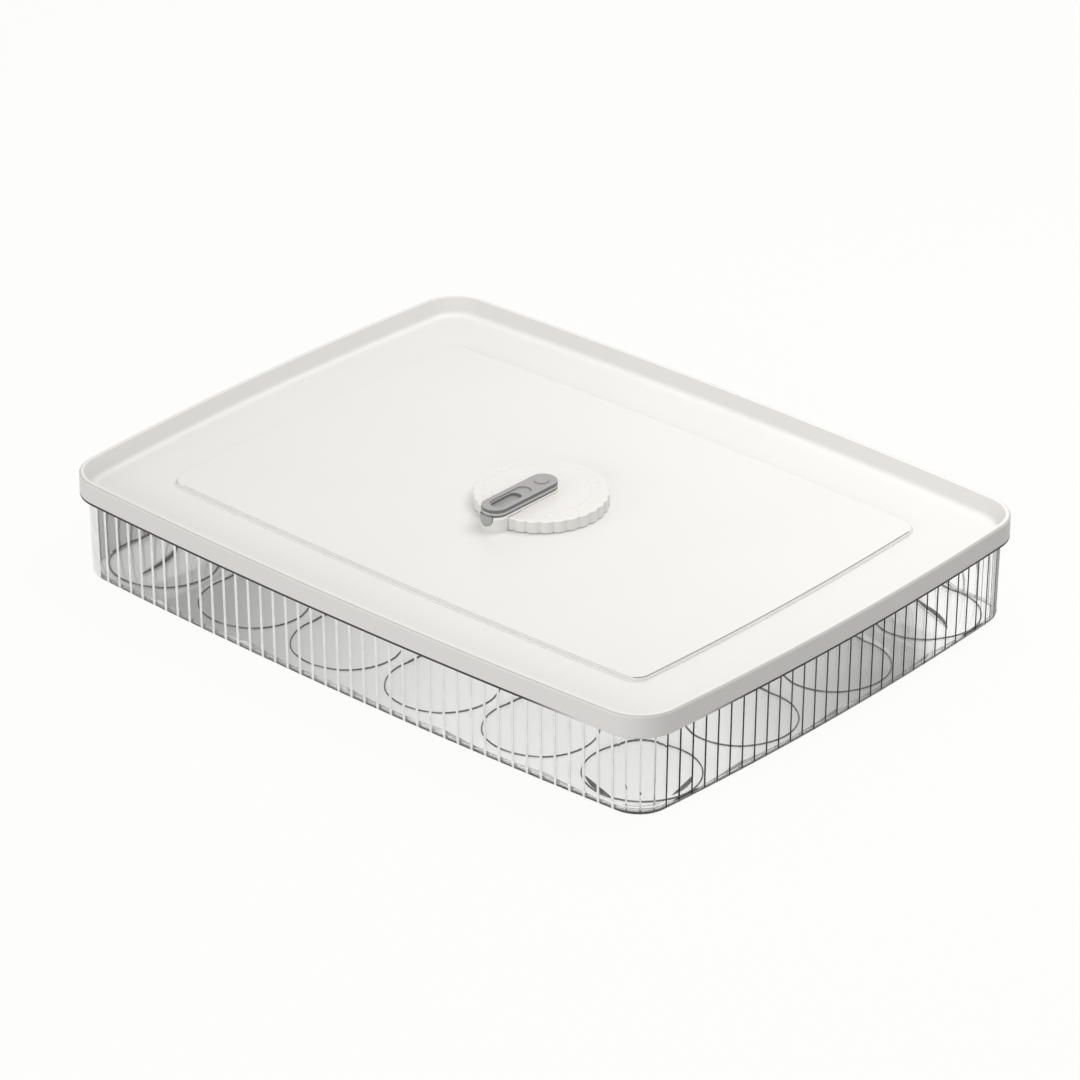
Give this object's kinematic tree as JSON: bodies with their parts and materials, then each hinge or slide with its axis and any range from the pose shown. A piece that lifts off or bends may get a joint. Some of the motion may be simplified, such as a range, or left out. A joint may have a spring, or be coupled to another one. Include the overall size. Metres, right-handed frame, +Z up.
{
  "type": "egg holder",
  "caption": "Low clear box with a tray of round egg seats, a white lift-off lid and a date dial that turns under a fixed pointer.",
  "frame": {"origin": "middle of the box's underside, on the surface that the holder stands on", "axes": "+X along the long side, +Y along the short side away from the pointer's tip, +Z up"},
  "size_m": [0.3554, 0.2684, 0.0568],
  "materials": {
    "clear_box": "clear injection-moulded plastic, polished",
    "clear_tray": "clear injection-moulded plastic, polished",
    "white_lid": "white injection-moulded plastic, satin",
    "white_dial": "white injection-moulded plastic, semi-gloss",
    "grey_cover": "grey injection-moulded plastic, satin",
    "pin_plastic": "grey moulded plastic",
    "washer_plastic": "white moulded plastic"
  },
  "bodies": {
    "box": {"box": "clear_box"},
    "tray": {"egg_tray": "clear_tray"},
    "lid": {"lid": "white_lid", "pointer_carrier": "white_dial", "pointer_cover": "grey_cover", "pivot_pin": "pin_plastic", "pin_washer": "washer_plastic"},
    "dial": {"date_dial": "white_dial"}
  },
  "joints": [
    {"name": "tray_lift", "type": "slide", "parent": "box", "child": "tray", "axis": [0, 0, 1], "range_m": [0, 0.06]},
    {"name": "lid_lift", "type": "slide", "parent": "tray", "child": "lid", "axis": [0, 0, 1], "range_m": [0, 0.08]},
    {"name": "dial_turn", "type": "hinge", "parent": "lid", "child": "dial", "pos_m": [0, 0, 0.0484], "axis": [0, 0, 1], "continuous": true}
  ]
}
